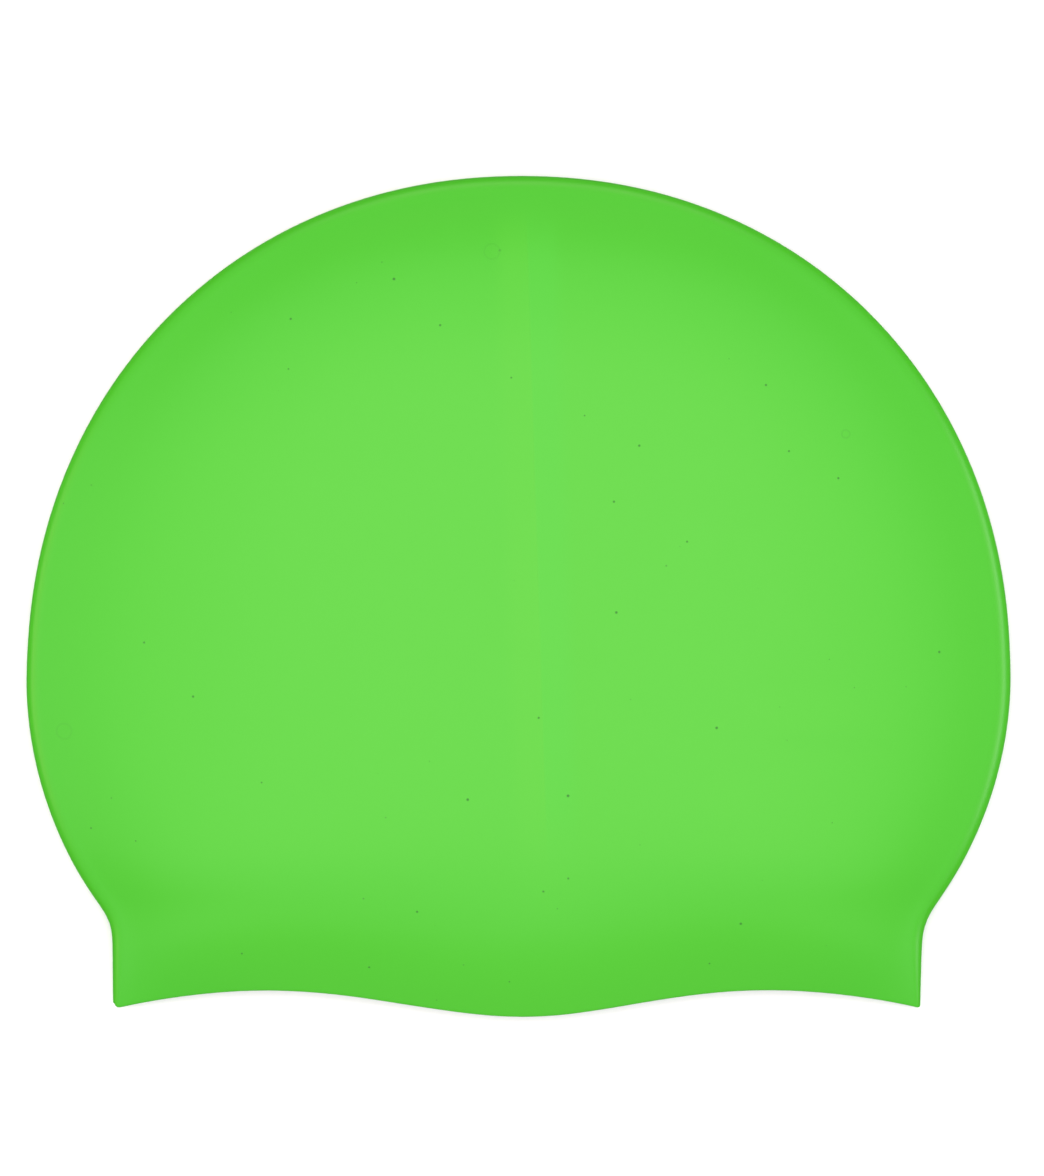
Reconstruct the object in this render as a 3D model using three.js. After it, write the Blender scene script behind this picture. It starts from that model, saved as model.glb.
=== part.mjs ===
// A moulded silicone swim cap, one piece, lying on one of its two broad faces.
// Millimetres, +Z up. The crown points to +Y and the open mouth to -Y. The origin is the
// middle of the footprint, on the surface that the cap lies on.
//
// The wall is lofted as a bag: closed loops run round the cap from the wavy rim to the crown.
// Each loop leaves the centre line on the upper face, runs out to the round spine that edges
// the cap, turns round it, and comes back along the lower face. The last loop is zipped shut
// along the centre line. The inner skin is the outer one moved inwards by the wall.

import * as THREE from "three";

// Outline, seen from above
const capWidth = 220;
const capHeight = 188; // crown to the lowest point of the rim
const widestAboveRim = 76.2; // the widest line, over the lowest point of the rim
const domeFullness = 2.09; // exponent of the outline above the widest line, 2 for an ellipse
const cheekDepth = 97.5; // half height of the ellipse that the outline follows below it
const neckWidth = 181; // across the two straight flanks below the cheeks
const neckBlendRight = 1.8; // how far the corner of cheek and flank is filled, each side
const neckBlendLeft = 1.1;
const crownLean = 1.1; // sideways drift of the outline from rim to crown

// Rim, seen from above
const earLobeDrop = 6.2; // the lobe in the middle, below the two arches beside it
const archFromMiddle = 54; // from the middle of the lobe to the top of an arch
const tipRise = 1.6; // the two tips at the spine, over the lowest point of the rim
const tipRound = 1.2; // rounding of the tip's corner
const archFall = 1.9; // exponent of the fall from an arch to a tip
const rimWaveReach = 40; // how far up the cap the loops still follow the rim's wave

// Section
const spineRadius = 4.4; // the round edge, which stands twice this high
const tipSpineRadius = 2.2; // the same at the two tips of the rim
const spineGrow = 50; // from the tips up to where the spine has its full radius
const faceWall = 0.8;
const spineWall = 1.2;
const spineWallFade = 6; // over which the spine's wall thins to the face's
const crownRise = 8.4; // how far the upper face stands over the spine at its highest
const rimRiseShare = 0.28; // the rim's share of that rise
const riseFoot = 2.4; // from the outer edge in to where the upper face starts to rise
const riseEase = 3.5; // length over which the rise steepens
const riseLength = 62; // from there to where the upper face is level
const rimRiseLength = 36; // the same along the rim
const crownRiseLength = 42; // and at the crown
const riseFullness = 2.5; // exponent of the rise, higher for a fuller shoulder
const mouthFall = 46; // from the rim up to where the upper face stops rising
const mouthFullness = 2.2; // exponent of that rise, and of the spine's growth

// Crease that folding in half for the packet left down the upper face
const creaseDepth = 0.8;
const creaseShiftCrown = 1.5; // sideways place of the crease at its two ends
const creaseShiftRim = 7.5;
const creaseHalfWidthCrown = 5;
const creaseHalfWidthRim = 11;
const creaseEndAboveRim = 15; // where the crease ends
const creaseFade = 30; // from there to where it has its full depth
const creaseFadeSpine = 7; // the same from the top of the spine inwards
const fanFromCrown = 60; // from the crown down to where the fanned loops meet

// Loops from rim to crown, counted zone by zone, and steps along one half of a loop
const neckZoneHeight = 34; // the loops are closest in this zone, just above the tips
const neckLoops = 10;
const cheekLoops = 7;
const domeLoops = 16;
const spineSteps = 8;
const faceShares = [0.03, 0.07, 0.13, 0.22, 0.34, 0.5, 0.67, 0.82, 0.91, 0.965, 1];

const capColour = 0x6ee04f;
const capRoughness = 0.5;

const rimLow = -capHeight / 2;
const crownY = capHeight / 2;
const widestY = rimLow + widestAboveRim;
const tipY = rimLow + tipRise;
const neckHalf = neckWidth / 2;
const halfWidth = capWidth / 2;
const quarterTurn = Math.PI / 2;
const lastLoop = neckLoops + cheekLoops + domeLoops;

const mix = (from, to, share) => from + (to - from) * share;
const clamp01 = (value) => Math.min(1, Math.max(0, value));
const easeInOut = (share) => (1 - Math.cos(Math.PI * clamp01(share))) / 2;
const easeOut = (share, fullness) => 1 - (1 - clamp01(share)) ** fullness;

// Half the outline's width at a height below the widest line: the larger of the cheek's
// ellipse and the straight flank, with the corner between them filled.
function halfWidthBelow(y, blend) {
  const cheek = halfWidth * Math.sqrt(Math.max(0, 1 - ((y - widestY) / cheekDepth) ** 2));
  return (cheek + neckHalf + Math.hypot(cheek - neckHalf, blend)) / 2;
}

// Points of the outline on one side, from the tip to the crown. side is 1 right and -1 left.
function outlineSide(side) {
  const blend = side > 0 ? neckBlendRight : neckBlendLeft;
  const neckTop = tipY + neckZoneHeight;
  const points = [];
  const add = (x, y) => {
    const lean = (crownLean * (y - widestY)) / capHeight;
    points.push(new THREE.Vector2(side * x + lean, y));
  };
  for (let k = 0; k <= neckLoops; k++) {
    const y = mix(tipY, neckTop, k / neckLoops);
    add(halfWidthBelow(y, blend), y);
  }
  for (let k = 1; k <= cheekLoops; k++) {
    const y = mix(neckTop, widestY, k / cheekLoops);
    add(halfWidthBelow(y, blend), y);
  }
  const power = 2 / domeFullness;
  for (let k = 1; k < domeLoops; k++) {
    const angle = (quarterTurn * k) / domeLoops;
    const y = mix(widestY, crownY, Math.sin(angle) ** power);
    add(halfWidth * Math.cos(angle) ** power, y);
  }
  add(0, crownY);
  return points;
}

// The whole edge as one line, right tip to crown to left tip.
const edge = [...outlineSide(1), ...outlineSide(-1).slice(0, -1).reverse()];

// Inward normal of each point of the edge, from its two neighbours, the nearer counting more.
const inward = edge.map((point, i) => {
  const along = new THREE.Vector2();
  const addChord = (from, to) => {
    const chord = to.clone().sub(from);
    along.addScaledVector(chord, 1 / chord.lengthSq());
  };
  if (i > 0) addChord(edge[i - 1], point);
  if (i < edge.length - 1) addChord(point, edge[i + 1]);
  along.normalize();
  return new THREE.Vector2(-along.y, along.x);
});

const insideEdge = (e, depth) => edge[e].clone().addScaledVector(inward[e], depth);

// Height of the rim's line over its lowest point, x from the middle: a lobe that covers the
// ear, an arch on each side of it, and a fall to the rounded tip.
function rimRise(x) {
  const out = Math.abs(x);
  if (out < archFromMiddle) return earLobeDrop * easeInOut(out / archFromMiddle);
  const fall = clamp01((out - archFromMiddle) / (neckHalf - archFromMiddle)) ** archFall;
  const inTip = clamp01((neckHalf - out) / tipRound);
  const corner = tipRound * (1 - Math.sqrt(1 - (1 - inTip) ** 2));
  return mix(earLobeDrop, tipRise, fall) + corner;
}

// The centre line follows the crease. The loops leave it evenly spaced, from the rim up to
// where they fan out to the crown.
const creaseX = (y) => mix(creaseShiftRim, creaseShiftCrown, clamp01((y - rimLow) / capHeight));
const centreRimY = rimLow + rimRise(creaseShiftRim);
function centrePoint(i) {
  const y = mix(centreRimY, crownY - fanFromCrown, i / lastLoop);
  return new THREE.Vector2(creaseX(y), y);
}

// How far the rim's wave moves a point of loop i, where straightY is the height that the
// point would have on the first loop if the rim ran straight from tip to middle.
function waveShift(i, x, straightY) {
  const follow = 1 - easeInOut((edge[i].y - tipY) / rimWaveReach);
  return follow * (rimLow + rimRise(x) - straightY);
}

// Radius of the spine at point e of the edge.
const spineRadiusAt = (e) =>
  mix(tipSpineRadius, spineRadius, easeOut((edge[e].y - tipY) / spineGrow, mouthFullness));

// Length of the rise on loop i, from the rim to the widest line and from there to the crown.
function riseLengthAt(i) {
  const y = edge[i].y;
  if (y < widestY) return mix(rimRiseLength, riseLength, easeInOut((y - tipY) / (widestY - tipY)));
  return mix(riseLength, crownRiseLength, easeInOut((y - widestY) / (crownY - widestY)));
}

// Thickness of the wall at a point `inside` the top of the spine.
const wallAt = (inside) => mix(spineWall, faceWall, easeInOut(inside / spineWallFade));

// How far the crease dents the upper face at a place that is `inside` the top of the spine.
function creaseDent(place, inside) {
  const climb = place.y - rimLow;
  const width = mix(creaseHalfWidthRim, creaseHalfWidthCrown, clamp01(climb / capHeight));
  const across = (place.x - creaseX(place.y)) / width;
  const fadeRim = easeInOut((climb - creaseEndAboveRim) / creaseFade);
  const fadeSpine = easeInOut(inside / creaseFadeSpine);
  return creaseDepth * Math.exp(-(across ** 2)) * fadeRim * fadeSpine;
}

// How far the upper face of loop i stands over the spine at a point `inside` the outer edge.
function riseAt(i, inside) {
  const climb = (centrePoint(i).y - rimLow) / mouthFall;
  const lift = mix(rimRiseShare, 1, easeOut(climb, mouthFullness));
  const past = Math.max(0, inside - riseFoot);
  const eased = past < riseEase ? past ** 2 / (2 * riseEase) : past - riseEase / 2;
  return lift * crownRise * easeOut(eased / riseLengthAt(i), riseFullness);
}

// One half of loop i, which turns round point e of the edge: points from the centre line over
// the spine and back, each with the wall there.
function halfLoop(i, e) {
  const radius = spineRadiusAt(e);
  const foot = insideEdge(e, radius);
  const centre = centrePoint(i);
  const length = foot.distanceTo(centre);
  const facePoint = (share, upper) => {
    const place = foot.clone().lerp(centre, share);
    place.y += waveShift(i, place.x, mix(tipY, centreRimY, share));
    const inside = share * length;
    const top = 2 * radius + riseAt(i, radius + inside) - creaseDent(place, inside);
    return { at: new THREE.Vector3(place.x, place.y, upper ? top : 0), wall: wallAt(inside) };
  };
  const spinePoint = (angle) => {
    const inside = radius * (1 - Math.cos(angle));
    const place = insideEdge(e, inside);
    place.y += waveShift(i, place.x, tipY);
    const rise = angle > 0 ? riseAt(i, inside) : 0;
    const z = radius * (1 + Math.sin(angle)) + rise;
    return { at: new THREE.Vector3(place.x, place.y, z), wall: spineWall };
  };
  const points = faceShares.toReversed().map((share) => facePoint(share, true));
  for (let k = 0; k <= spineSteps; k++) {
    points.push(spinePoint(quarterTurn - (Math.PI * k) / spineSteps));
  }
  points.push(...faceShares.map((share) => facePoint(share, false)));
  return points;
}

// Outer skin: whole loops, a right half and a left half that share their ends, and then the
// last loop, whose two halves are one and the same line.
const halfSteps = 2 * faceShares.length + spineSteps;
const loopSteps = 2 * halfSteps;
const outerPoints = [];
for (let i = 0; i < lastLoop; i++) {
  const left = halfLoop(i, edge.length - 1 - i);
  outerPoints.push(...halfLoop(i, i), ...left.slice(1, -1).reverse());
}
outerPoints.push(...halfLoop(lastLoop, lastLoop));

// Index of step j of loop i. On the zipped loop the way back uses the same points.
function indexOf(i, j) {
  const step = j % loopSteps;
  const zipped = i === lastLoop && step > halfSteps;
  return i * loopSteps + (zipped ? loopSteps - step : step);
}

function capGeometry() {
  const outerFaces = [];
  for (let i = 0; i < lastLoop; i++) {
    for (let j = 0; j < loopSteps; j++) {
      const [a, b] = [indexOf(i, j), indexOf(i, j + 1)];
      const [c, d] = [indexOf(i + 1, j + 1), indexOf(i + 1, j)];
      outerFaces.push([a, b, c], [a, c, d]);
    }
  }
  const outerSkin = outerPoints.map((point) => point.at);
  const skin = new THREE.BufferGeometry().setFromPoints(outerSkin);
  skin.setIndex(outerFaces.flat());
  skin.computeVertexNormals();
  const normals = skin.getAttribute("normal");
  const innerSkin = outerPoints.map(({ at, wall }, k) => {
    const normal = new THREE.Vector3().fromBufferAttribute(normals, k);
    return at.clone().addScaledVector(normal, -wall);
  });
  const inner = outerPoints.length; // index of the inner skin's first point
  const innerFaces = outerFaces.map(([a, b, c]) => [a + inner, c + inner, b + inner]);
  const lipFaces = [];
  for (let j = 0; j < loopSteps; j++) {
    const [a, b] = [indexOf(0, j), indexOf(0, j + 1)];
    lipFaces.push([b, a, a + inner], [b, a + inner, b + inner]);
  }
  const wall = new THREE.BufferGeometry().setFromPoints([...outerSkin, ...innerSkin]);
  wall.setIndex([...outerFaces, ...innerFaces, ...lipFaces].flat());
  wall.computeVertexNormals();
  return wall;
}

const silicone = new THREE.MeshStandardMaterial({
  color: capColour,
  roughness: capRoughness,
  metalness: 0,
});
const cap = new THREE.Mesh(capGeometry(), silicone);
cap.name = "cap";

const swimCap = new THREE.Group();
swimCap.add(cap);

export default swimCap;
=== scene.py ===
import math
import bmesh
import bpy
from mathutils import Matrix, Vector


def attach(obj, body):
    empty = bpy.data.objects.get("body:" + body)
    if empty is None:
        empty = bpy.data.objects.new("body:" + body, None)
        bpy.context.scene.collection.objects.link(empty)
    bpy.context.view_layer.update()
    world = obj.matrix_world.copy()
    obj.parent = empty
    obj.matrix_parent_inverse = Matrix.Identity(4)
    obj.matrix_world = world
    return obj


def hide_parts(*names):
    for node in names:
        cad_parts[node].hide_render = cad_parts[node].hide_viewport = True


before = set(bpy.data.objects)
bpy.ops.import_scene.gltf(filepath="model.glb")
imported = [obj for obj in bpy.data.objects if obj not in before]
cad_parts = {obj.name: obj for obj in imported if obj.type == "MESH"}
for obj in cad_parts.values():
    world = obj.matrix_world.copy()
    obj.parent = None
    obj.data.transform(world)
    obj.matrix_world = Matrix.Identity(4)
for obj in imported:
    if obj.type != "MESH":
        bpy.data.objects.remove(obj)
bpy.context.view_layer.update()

mm = 0.001
print("frame loaded")


def mix(low, high, share):
    return low + (high - low) * share


def clamp(value):
    return min(1.0, max(0.0, value))


def easeInOut(share):
    return (1 - math.cos(math.pi * clamp(share))) / 2


# Outline of the cap seen from above, crown up
outline = {
    "width": 220.2 * mm,         # across the cheeks
    "height": 188.2 * mm,        # crown to the lowest point of the rim
    "widest": 76.2 * mm,         # where it is widest, over the lowest point of the rim
    "fullness": 2.09,            # of the dome, 2 is an ellipse
    "cheekDepth": 97.5 * mm,     # half height of the ellipse that shapes the cheeks
    "neckWidth": 181 * mm,       # across the straight flanks under the cheeks
    "neckFill": (1.8 * mm, 1.1 * mm),   # how round the corner over the neck is, right and left
    "lean": 1.1 * mm,            # sideways drift from rim to crown
}

rim = {
    "lobe": 6.2 * mm,            # ear lobe in the middle, below the arches beside it
    "arch": 54 * mm,             # from the middle to the top of an arch
    "tipRise": 1.6 * mm,         # tips over the lowest point
    "tipRound": 1.2 * mm,
    "archPower": 1.9,
    "waveReach": 40 * mm,        # how far up the loops follow the wave
}

section = {
    "spine": 4.4 * mm,           # radius of the round edge
    "spineTip": 1.7 * mm,        # the same at the two tips of the rim
    "spineGrow": 36 * mm,        # from there up to its full radius
    "crownRise": 8.4 * mm,       # upper face over the spine at its highest
    "rimShare": 0.28,            # the rim's share of that rise
    "riseFoot": 2.4 * mm,        # from the outer edge in to where the rise starts
    "riseEase": 3.5 * mm,        # it steepens over this length
    "riseLength": 62 * mm,       # and is level after this one
    "rimRiseLength": 36 * mm,    # the same along the rim
    "crownRiseLength": 42 * mm,  # and at the crown
    "risePower": 2.5,
    "mouthFall": 46 * mm,        # the upper face falls to the rim over this length
    "mouthPower": 2.2,
    "wall": 0.8 * mm,
}

crease = {
    "depth": 0.6 * mm,
    "xCrown": 1.5 * mm,          # sideways place at the crown and at the rim
    "xRim": 7.5 * mm,
    "halfCrown": 5 * mm,         # half width there
    "halfRim": 11 * mm,
    "endsAt": 15 * mm,           # over the rim
    "fade": 30 * mm,
    "fadeSpine": 7 * mm,
}

cage = {
    "neckZone": 34 * mm,
    "neckLoops": 10,
    "cheekLoops": 8,
    "domeLoops": 18,
    "spineSteps": 10,
    "shares": (0.03, 0.07, 0.13, 0.22, 0.34, 0.5, 0.67, 0.82, 0.91, 0.965, 1),
    "fan": 60 * mm,              # from the crown to where the loops fan out
    "smoothing": 2,              # subdivision levels
    "lipRound": 0.28 * mm,       # rounding of the cut edge
    "lipSteps": 2,
    "lipAngle": 50,              # degrees, sharper edges than this are rounded
    "merge": 0.01 * mm,
}

rimLow = -outline["height"] / 2
crownY = outline["height"] / 2
widestY = rimLow + outline["widest"]
tipY = rimLow + rim["tipRise"]
neckHalf = outline["neckWidth"] / 2
halfWidth = outline["width"] / 2
lastLoop = cage["neckLoops"] + cage["cheekLoops"] + cage["domeLoops"]
faceSteps = len(cage["shares"])
halfSteps = 2 * faceSteps + cage["spineSteps"]
loopSteps = 2 * halfSteps


def flankX(y, fill):
    # below the widest line: the cheek's ellipse or the neck's flank, whichever is further out
    cheek = halfWidth * math.sqrt(max(0, 1 - ((y - widestY) / outline["cheekDepth"]) ** 2))
    return (cheek + neckHalf + math.hypot(cheek - neckHalf, fill)) / 2


def outlineSide(side):
    # from the tip to the crown, side is 1 right and -1 left
    fill = outline["neckFill"][0 if side > 0 else 1]
    neckTop = tipY + cage["neckZone"]
    places = []
    for k in range(cage["neckLoops"] + 1):
        y = mix(tipY, neckTop, k / cage["neckLoops"])
        places.append((flankX(y, fill), y))
    for k in range(1, cage["cheekLoops"] + 1):
        y = mix(neckTop, widestY, k / cage["cheekLoops"])
        places.append((flankX(y, fill), y))
    power = 2 / outline["fullness"]
    for k in range(1, cage["domeLoops"]):
        angle = math.pi / 2 * k / cage["domeLoops"]
        y = mix(widestY, crownY, math.sin(angle) ** power)
        places.append((halfWidth * math.cos(angle) ** power, y))
    places.append((0, crownY))
    return [Vector((side * x + outline["lean"] * (y - widestY) / outline["height"], y))
            for x, y in places]


edge = {side: outlineSide(side) for side in (1, -1)}
wholeEdge = edge[1] + edge[-1][-2::-1]


def inwardAt(e):
    # square to the two chords at this point, the nearer one counting more
    along = Vector((0, 0))
    for start, end in ((e - 1, e), (e, e + 1)):
        if start >= 0 and end < len(wholeEdge):
            chord = wholeEdge[end] - wholeEdge[start]
            along += chord / chord.length_squared
    along.normalize()
    return Vector((-along.y, along.x))


inward = [inwardAt(e) for e in range(len(wholeEdge))]


def rimRise(x):
    out = abs(x)
    if out < rim["arch"]:
        return rim["lobe"] * easeInOut(out / rim["arch"])
    fall = clamp((out - rim["arch"]) / (neckHalf - rim["arch"])) ** rim["archPower"]
    inTip = clamp((neckHalf - out) / rim["tipRound"])
    corner = rim["tipRound"] * (1 - math.sqrt(1 - (1 - inTip) ** 2))
    return mix(rim["lobe"], rim["tipRise"], fall) + corner


def creaseX(y):
    return mix(crease["xRim"], crease["xCrown"], clamp((y - rimLow) / outline["height"]))


centreRimY = rimLow + rimRise(crease["xRim"])


def centrePoint(i):
    y = mix(centreRimY, crownY - cage["fan"], i / lastLoop)
    return Vector((creaseX(y), y))


def waveShift(i, x, straightY):
    follow = 1 - easeInOut((wholeEdge[i].y - tipY) / rim["waveReach"])
    return follow * (rimLow + rimRise(x) - straightY)


def creaseDent(place, inside):
    climb = place.y - rimLow
    width = mix(crease["halfRim"], crease["halfCrown"], clamp(climb / outline["height"]))
    across = (place.x - creaseX(place.y)) / width
    fadeRim = easeInOut((climb - crease["endsAt"]) / crease["fade"])
    fadeSpine = easeInOut(inside / crease["fadeSpine"])
    return crease["depth"] * math.exp(-across ** 2) * fadeRim * fadeSpine


def rounded(share, power):
    return 1 - (1 - clamp(share)) ** power


def spineRadius(e):
    grown = rounded((wholeEdge[e].y - tipY) / section["spineGrow"], section["mouthPower"])
    return mix(section["spineTip"], section["spine"], grown)


def riseLength(i):
    y = wholeEdge[i].y
    if y < widestY:
        share = easeInOut((y - tipY) / (widestY - tipY))
        return mix(section["rimRiseLength"], section["riseLength"], share)
    share = easeInOut((y - widestY) / (crownY - widestY))
    return mix(section["riseLength"], section["crownRiseLength"], share)


def riseAt(i, inside):
    # how far the upper face stands over the spine, inside is measured from the outer edge
    climb = (centrePoint(i).y - rimLow) / section["mouthFall"]
    lift = mix(section["rimShare"], 1, rounded(climb, section["mouthPower"]))
    start = max(0, inside - section["riseFoot"])
    ease = section["riseEase"]
    start = start ** 2 / (2 * ease) if start < ease else start - ease / 2
    return section["crownRise"] * lift * rounded(start / riseLength(i), section["risePower"])


def loopPoint(i, step):
    # loop i runs from the middle of the upper face over the right spine to the middle of the
    # lower face, and back over the left spine
    side = 1 if step <= halfSteps else -1
    k = step if side > 0 else loopSteps - step
    e = i if side > 0 else len(wholeEdge) - 1 - i
    radius = spineRadius(e)
    foot = wholeEdge[e] + inward[e] * radius
    centre = centrePoint(i)
    length = (centre - foot).length
    onSpine = k - faceSteps
    if 0 <= onSpine <= cage["spineSteps"]:
        angle = math.pi / 2 - math.pi * onSpine / cage["spineSteps"]
        inside = radius * (1 - math.cos(angle))
        place = wholeEdge[e] + inward[e] * inside
        place.y += waveShift(i, place.x, tipY)
        z = radius * (1 + math.sin(angle))
        if angle > 0:
            z += riseAt(i, inside)
        return Vector((place.x, place.y, z))
    upper = onSpine < 0
    share = cage["shares"][faceSteps - 1 - k if upper else onSpine - cage["spineSteps"] - 1]
    place = foot.lerp(centre, share)
    place.y += waveShift(i, place.x, mix(tipY, centreRimY, share))
    if not upper:
        return Vector((place.x, place.y, 0))
    inside = share * length
    z = 2 * radius + riseAt(i, radius + inside) - creaseDent(place, inside)
    return Vector((place.x, place.y, z))


def placeLoop(mesh, i):
    around = mesh.verts.layers.int["around"]
    for vertex in mesh.verts:
        if vertex.select:
            step = vertex[around]
            if i == lastLoop and step > halfSteps:
                step = loopSteps - step     # the last loop is zipped shut
            vertex.co = loopPoint(i, step)


def applyAll(piece):
    bpy.context.view_layer.objects.active = piece
    for modifier in list(piece.modifiers):
        bpy.ops.object.modifier_apply(modifier=modifier.name)


def makeCap():
    bpy.ops.object.select_all(action="DESELECT")
    bpy.ops.mesh.primitive_circle_add(vertices=loopSteps, radius=halfWidth, location=(0, 0, 0))
    piece = bpy.context.object
    piece.name = "swim_cap"
    piece.data.name = "swim_cap"
    bpy.ops.object.mode_set(mode="EDIT")
    mesh = bmesh.from_edit_mesh(piece.data)
    around = mesh.verts.layers.int.new("around")
    for step, vertex in enumerate(mesh.verts):
        vertex[around] = step
    placeLoop(mesh, 0)
    for i in range(1, lastLoop + 1):
        bpy.ops.mesh.extrude_region_move(TRANSFORM_OT_translate={"value": (0, mm, 0)})
        mesh = bmesh.from_edit_mesh(piece.data)
        placeLoop(mesh, i)
    bmesh.update_edit_mesh(piece.data)
    bpy.ops.mesh.select_all(action="SELECT")
    bpy.ops.mesh.remove_doubles(threshold=cage["merge"])
    bpy.ops.mesh.normals_make_consistent(inside=False)
    bpy.ops.object.mode_set(mode="OBJECT")
    piece.data.attributes.remove(piece.data.attributes["around"])

    smooth = piece.modifiers.new("smooth", "SUBSURF")
    smooth.levels = smooth.render_levels = cage["smoothing"]
    wall = piece.modifiers.new("wall", "SOLIDIFY")
    wall.thickness = section["wall"]
    wall.offset = -1
    wall.use_even_offset = True
    lip = piece.modifiers.new("lip", "BEVEL")
    lip.width = cage["lipRound"]
    lip.segments = cage["lipSteps"]
    lip.limit_method = "ANGLE"
    lip.angle_limit = math.radians(cage["lipAngle"])
    applyAll(piece)
    bpy.ops.object.shade_smooth()
    return piece


swimCap = makeCap()
print("cap modelled,", len(swimCap.data.polygons), "faces")


# Shader maths: a socket that can be used in a Python expression
class Shade:
    def __init__(self, tree, socket):
        self.tree = tree
        self.socket = socket

    def math(self, operation, other, swap=False):
        node = self.tree.nodes.new("ShaderNodeMath")
        node.operation = operation
        values = (other, self) if swap else (self, other)
        for slot, value in zip(node.inputs, values):
            if isinstance(value, Shade):
                self.tree.links.new(value.socket, slot)
            else:
                slot.default_value = value
        return Shade(self.tree, node.outputs[0])

    def __add__(self, other):
        return self.math("ADD", other)

    __radd__ = __add__

    def __sub__(self, other):
        return self.math("SUBTRACT", other)

    def __rsub__(self, other):
        return self.math("SUBTRACT", other, swap=True)

    def __mul__(self, other):
        return self.math("MULTIPLY", other)

    __rmul__ = __mul__

    def __truediv__(self, other):
        return self.math("DIVIDE", other)

    def __pow__(self, other):
        return self.math("POWER", other)

    def least(self, other):
        return self.math("MINIMUM", other)

    def most(self, other):
        return self.math("MAXIMUM", other)

    def within(self):
        return self.most(0.0).least(1.0)

    def size(self):
        return self.math("ABSOLUTE", 0.0)


class Material:
    def __init__(self, name):
        self.data = bpy.data.materials.new(name)
        self.data.use_nodes = True
        self.tree = self.data.node_tree
        self.tree.nodes.clear()
        self.output = self.tree.nodes.new("ShaderNodeOutputMaterial")

    def node(self, kind, settings=None, values=None, out=0):
        made = self.tree.nodes.new(kind)
        for name, value in (settings or {}).items():
            setattr(made, name, value)
        for name, value in (values or {}).items():
            slot = made.inputs[name]
            if isinstance(value, Shade):
                self.tree.links.new(value.socket, slot)
            else:
                slot.default_value = value
        return Shade(self.tree, made.outputs[out])

    def tint(self, base, other, share):
        # from one colour to the other, by a share that may vary over the surface
        return self.node("ShaderNodeMix", {"data_type": "RGBA"}, {0: share, 6: base, 7: other}, out=2)

    def mound(self, distance, reach):
        # 1 at no distance, falling smoothly to 0 at the reach
        return self.node("ShaderNodeMapRange", {"interpolation_type": "SMOOTHSTEP"},
                         {"Value": distance, "From Min": 0.0, "From Max": reach,
                          "To Min": 1.0, "To Max": 0.0})

    def noise(self, place, size, detail, roughness, distortion=0.0):
        return self.node("ShaderNodeTexNoise", None, {
            "Vector": place, "Scale": 1 / size, "Detail": detail, "Roughness": roughness,
            "Distortion": distortion})

    def bump(self, height, depth, under=None):
        values = {"Height": height, "Strength": 1.0, "Distance": depth}
        if under:
            values["Normal"] = under
        return self.node("ShaderNodeBump", None, values)


silicone = {
    "paler": (0.058, 0.397, 0.0118, 1),      # the two ends of the pigment's differences
    "darker": (0.032, 0.330, 0.0036, 1),
    "usual": 0.54,
    "paintedEdgeShade": 0.30,                       # painted shade: darker towards the edge
    "edgeFrom": 0.5,
    "paintedFoldWarm": (0.0500, 0.370, 0.0085, 1),  # painted light on the crease's flanks: warm on the left, cool on the right
    "paintedFoldCool": (0.0448, 0.372, 0.0110, 1),
    "foldReach": 9 * mm,         # sideways
    "foldPlateau": 0.45,         # share of the reach that is evenly lit by the painted light
    "foldTop": 74 * mm,          # where it starts to fade towards the crown, and over what length
    "foldTopFade": 14 * mm,
    "foldLow": 38 * mm,          # the same towards the rim
    "foldLowFade": 26 * mm,
    "foldSwitch": 0.5 * mm,      # width of the change from the left flank's painted warm light to the right flank's painted cool light
    "foldDepth": 0.15 * mm,
    "dusty": (0.012, 0.120, 0.0060, 1),
    "upperFrom": 5 * mm,         # marks, wear and the crease's painted light lie above this height
    "roughness": 0.36,
    "ior": 1.41,
    "flowSize": 38 * mm,         # broad, faint differences in the pigment
    "flowShare": 0.06,
    "grainSize": 1.1 * mm,
    "grainShare": 0.03,
    "grainDepth": 0.0015 * mm,
    "waveSize": 24 * mm,         # the surface isn't dead flat
    "waveDepth": 0.05 * mm,
    "matteness": 0.05,           # how far the roughness varies
    "smudgeSize": 9 * mm,
    "speckCell": 5.5 * mm,       # one speck of dust to a cell
    "speckReach": 0.38 * mm,
    "speckEdge": 3,              # how sharply it ends
    "speckDark": 0.8,
    "speckMatte": 0.2,
    "markEdge": 0.35 * mm,       # width of a mark's line
    "markDepth": 0.3,            # its depth as a share of a speck's
    "pitDepth": 0.03 * mm,
    "seamWidth": 0.35 * mm,      # the mould's parting line round the edge
    "seamDepth": 0.06 * mm,
    "seamStart": -50 * mm,       # it fades below this line
    "seamFade": 10 * mm,
}

# Marks on the upper face: place and radius in millimetres, how dark, ring or dot
marks = (
    {"at": (-5.9, 76.2), "radius": 1.7, "dark": 0.10, "ring": True},
    {"at": (-100.9, -30.0), "radius": 1.7, "dark": 0.10, "ring": True},
    {"at": (72.3, 35.8), "radius": 0.9, "dark": 0.16, "ring": True},
    {"at": (-4.1, 76.5), "radius": 0.45, "dark": 0.45, "ring": False},
)

# Faint patches: middle and half sizes in millimetres, and how much paler or darker
patches = (
    {"at": (46.2, -44.0), "half": (9, 7), "pale": 0.035},
    {"at": (63.0, -24.5), "half": (17, 7), "pale": 0.035},
    {"at": (68.5, -32.2), "half": (17, 3.2), "pale": -0.035},
)


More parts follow.
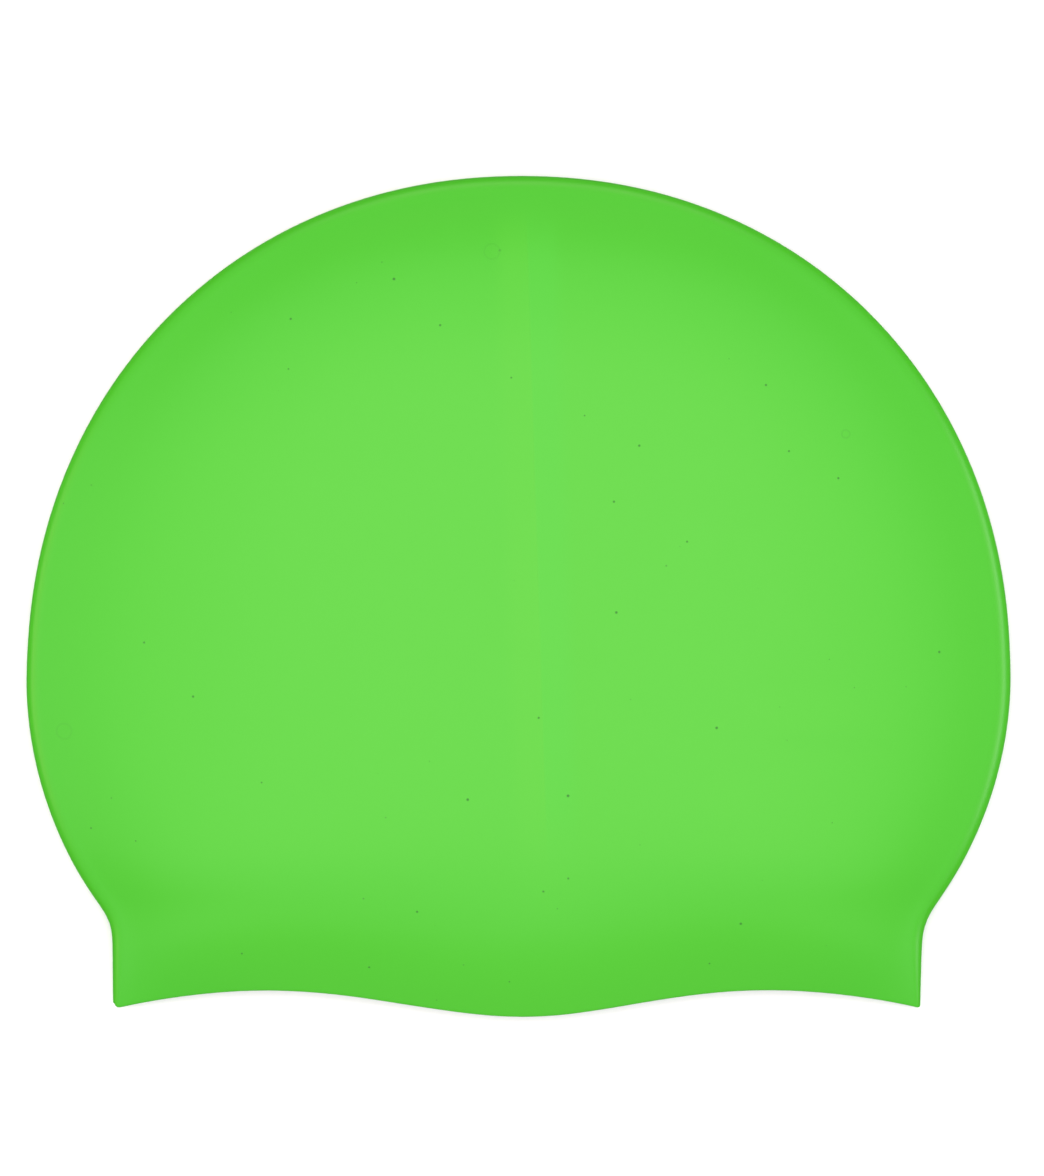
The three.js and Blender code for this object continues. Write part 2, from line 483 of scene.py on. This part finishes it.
def makeSilicone():
    m = Material("green_silicone")
    place = m.node("ShaderNodeTexCoord", out="Object")
    axes = [m.node("ShaderNodeSeparateXYZ", None, {0: place}, out=k) for k in range(3)]
    x, y, z = axes
    upper = 1 - m.mound(z, silicone["upperFrom"])

    # the crease has a sharp valley, and its two flanks carry painted light, warm on the left and cool
    # on the right
    lean = (crease["xRim"] - crease["xCrown"]) / outline["height"]
    across = x - crease["xRim"] + (y - rimLow) * lean
    apart = across.size() / silicone["foldReach"]
    lengthways = m.mound(y - silicone["foldTop"], silicone["foldTopFade"])
    lengthways = lengthways * m.mound(-silicone["foldLow"] - y, silicone["foldLowFade"]) * upper
    plateau = silicone["foldPlateau"]
    paintedFoldLightShare = m.mound(apart - plateau, 1 - plateau) * lengthways
    rightSide = (across / silicone["foldSwitch"] + 0.5).within()
    valley = 1 - (1 - apart).within() ** 2.0

    seam = m.mound((z - section["spine"]).size(), silicone["seamWidth"])
    seam = seam * m.mound(silicone["seamStart"] - y, silicone["seamFade"])

    flow = m.noise(place, silicone["flowSize"], 3.0, 0.5)
    grain = m.noise(place, silicone["grainSize"], 2.0, 0.6)
    wave = m.noise(place, silicone["waveSize"], 1.0, 0.4)
    smudge = m.noise(place, silicone["smudgeSize"], 4.0, 0.6, 0.6)

    # dust: one point to a cell, of its own size, and only some of them are seen
    cell = {"Vector": place, "Scale": 1 / silicone["speckCell"], "Randomness": 1.0}
    near = m.node("ShaderNodeTexVoronoi", {"voronoi_dimensions": "3D"}, cell)
    chance = m.node("ShaderNodeSeparateColor", None, {
        0: m.node("ShaderNodeTexVoronoi", {"voronoi_dimensions": "3D"}, cell, out="Color")})
    reach = silicone["speckReach"] / silicone["speckCell"]
    speck = ((chance * reach - near) * (silicone["speckEdge"] / reach)).within()

    spots = speck * silicone["speckDark"]
    shallow = 0.0
    for mark in marks:
        distance = m.node("ShaderNodeVectorMath", {"operation": "DISTANCE"}, {
            0: m.node("ShaderNodeCombineXYZ", None, {"X": x, "Y": y}),
            1: (mark["at"][0] * mm, mark["at"][1] * mm, 0)}, out="Value")
        if mark["ring"]:
            distance = (distance - mark["radius"] * mm).size()
            seen = m.mound(distance, silicone["markEdge"]) * upper
        else:
            seen = m.mound(distance, mark["radius"] * mm) * upper
        spots = spots + seen * mark["dark"]
        shallow = seen + shallow
    pale = (flow - 0.5) * silicone["flowShare"] + (grain - 0.5) * silicone["grainShare"]
    # painted shade: the colour darkens towards the outline of the cap
    spread = (x / halfWidth) ** 2.0 + ((y - widestY) / (crownY - widestY)) ** 2.0
    pale = pale - m.mound(1 - spread, silicone["edgeFrom"]) * silicone["paintedEdgeShade"]
    for patch in patches:
        off = [((axis - middle * mm) / (half * mm)) ** 2.0
               for axis, middle, half in zip((x, y), patch["at"], patch["half"])]
        pale = pale + m.mound(off[0] + off[1], 1.0) * upper * patch["pale"]

    colour = m.tint(silicone["darker"], silicone["paler"], (pale + silicone["usual"]).within())
    # painted light on the crease's flanks, warm on the left and cool on the right
    paintedFoldLight = m.tint(silicone["paintedFoldWarm"], silicone["paintedFoldCool"], rightSide)
    colour = m.tint(colour, paintedFoldLight, paintedFoldLightShare)
    colour = m.tint(colour, silicone["dusty"], spots.within())

    dull = (smudge - 0.5) * silicone["matteness"] + silicone["roughness"]
    dull = dull + speck * silicone["speckMatte"]
    level = m.bump(wave, silicone["waveDepth"])
    level = m.bump(grain, silicone["grainDepth"], level)
    level = m.bump(seam, silicone["seamDepth"], level)
    level = m.bump(valley * lengthways, silicone["foldDepth"], level)
    level = m.bump(speck + shallow * silicone["markDepth"], silicone["pitDepth"], level)
    shader = m.node("ShaderNodeBsdfPrincipled", values={
        "Base Color": colour,
        "Roughness": dull,
        "IOR": silicone["ior"],
        "Normal": level,
    })
    m.tree.links.new(shader.socket, m.output.inputs["Surface"])
    return m.data


swimCap.data.materials.append(makeSilicone())
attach(swimCap, "root")
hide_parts("cap")
print("silicone done")


studio = {
    "floorSize": 6.0,
    "floorColour": (0.85, 0.85, 0.85, 1),
    "floorBounce": (0.16, 0.32, 0.12, 1),   # what the floor throws back close to the green cap
    "world": (1.021, 1.031, 1.072, 1),
    "background": (1.0, 1.0, 1.0, 1),
    "floorRoughness": 0.9,
    "floorGloss": 0.1,
}

lights = (
    # middle and size in metres, each faces the cap
    {"name": "over_middle", "at": (0.0, 0.01, 0.42), "size": (0.22, 0.20), "radiance": 1.12,
     "tint": (1.03, 1, 0.68)},
    {"name": "over_left", "at": (-0.13, 0.0, 0.42), "size": (0.30, 0.20), "radiance": 0.42,
     "tint": (1.23, 1, 0.61)},
    {"name": "over_right", "at": (0.13, 0.0, 0.42), "size": (0.30, 0.20), "radiance": 0.52,
     "tint": (1.26, 1, 0.69)},
    {"name": "high", "at": (0.0, 0.0, 0.70), "size": (1.20, 1.20), "radiance": 0.95,
     "tint": (1.01, 1, 1.04)},
    {"name": "side_left", "at": (-0.62, 0.0, 0.40), "size": (0.60, 0.26), "radiance": 1.23,
     "tint": (1.17, 1, 0.99)},
    {"name": "low_left", "at": (-0.80, 0.0, 0.20), "size": (0.70, 0.26), "radiance": 0.81,
     "tint": (1.65, 1, 0.25)},
    {"name": "low_right", "at": (0.80, 0.0, 0.20), "size": (0.70, 0.26), "radiance": 2.83,
     "tint": (1.32, 1, 1.03)},
    {"name": "rim_left", "at": (-0.90, 0.0, 0.10), "size": (0.70, 0.12), "radiance": 2.8,
     "tint": (1.25, 1, 0.70)},
    {"name": "rim_right", "at": (0.90, 0.0, 0.10), "size": (0.70, 0.12), "radiance": 1.8,
     "tint": (0.80, 1, 1.25)},
    {"name": "low_back", "at": (0.0, 0.80, 0.20), "size": (0.70, 0.26), "radiance": 1.42,
     "tint": (1.50, 1, 0.92)},
)


def makeLight(row):
    place = Vector(row["at"])
    data = bpy.data.lights.new(row["name"], "AREA")
    data.shape = "RECTANGLE"
    data.size, data.size_y = row["size"]
    data.energy = row["radiance"] * math.pi * data.size * data.size_y
    data.color = row["tint"]
    light = bpy.data.objects.new(row["name"], data)
    light.location = place
    light.rotation_euler = place.to_track_quat("Z", "Y").to_euler()
    light.visible_camera = False
    bpy.context.scene.collection.objects.link(light)


def makeStudio():
    bpy.ops.object.select_all(action="DESELECT")
    bpy.ops.mesh.primitive_plane_add(size=studio["floorSize"], location=(0, 0, 0))
    floor = bpy.context.object
    floor.name = "floor"
    m = Material("pale_floor")
    seenDirectly = m.node("ShaderNodeLightPath", out="Is Camera Ray")
    shader = m.node("ShaderNodeBsdfPrincipled", values={
        "Base Color": m.tint(studio["floorBounce"], studio["floorColour"], seenDirectly),
        "Roughness": studio["floorRoughness"],
        "Specular IOR Level": studio["floorGloss"],
    })
    m.tree.links.new(shader.socket, m.output.inputs["Surface"])
    floor.data.materials.append(m.data)
    for row in lights:
        makeLight(row)
    world = bpy.data.worlds.new("studio")
    bpy.context.scene.world = world
    world.use_nodes = True
    tree = world.node_tree
    tree.nodes.clear()
    seen = tree.nodes.new("ShaderNodeBackground")
    seen.inputs["Color"].default_value = studio["background"]
    lit = tree.nodes.new("ShaderNodeBackground")
    lit.inputs["Color"].default_value = studio["world"]
    path = tree.nodes.new("ShaderNodeLightPath")
    choose = tree.nodes.new("ShaderNodeMixShader")
    end = tree.nodes.new("ShaderNodeOutputWorld")
    tree.links.new(path.outputs["Is Camera Ray"], choose.inputs[0])
    tree.links.new(lit.outputs[0], choose.inputs[1])
    tree.links.new(seen.outputs[0], choose.inputs[2])
    tree.links.new(choose.outputs[0], end.inputs["Surface"])


makeStudio()
print("studio done")


photo = {
    "width": 1044,               # pixels
    "height": 1176,
    "pixelsPerMetre": 4473,
    "capCentre": (518.5, 596),   # middle of the cap's outline
    "lens": 120,                 # millimetres
    "sensor": 36,
}


def makeCamera():
    data = bpy.data.cameras.new("camera")
    data.lens = photo["lens"]
    data.sensor_width = photo["sensor"]
    camera = bpy.data.objects.new("camera", data)
    bpy.context.scene.collection.objects.link(camera)
    scale = photo["pixelsPerMetre"]
    x = (photo["width"] / 2 - photo["capCentre"][0]) / scale
    y = (photo["capCentre"][1] - photo["height"] / 2) / scale
    away = photo["height"] / scale * photo["lens"] / photo["sensor"]
    camera.location = (x, y, section["spine"] + away)
    bpy.context.scene.camera = camera


makeCamera()
bpy.context.scene.view_settings.view_transform = "Standard"
print("camera done")
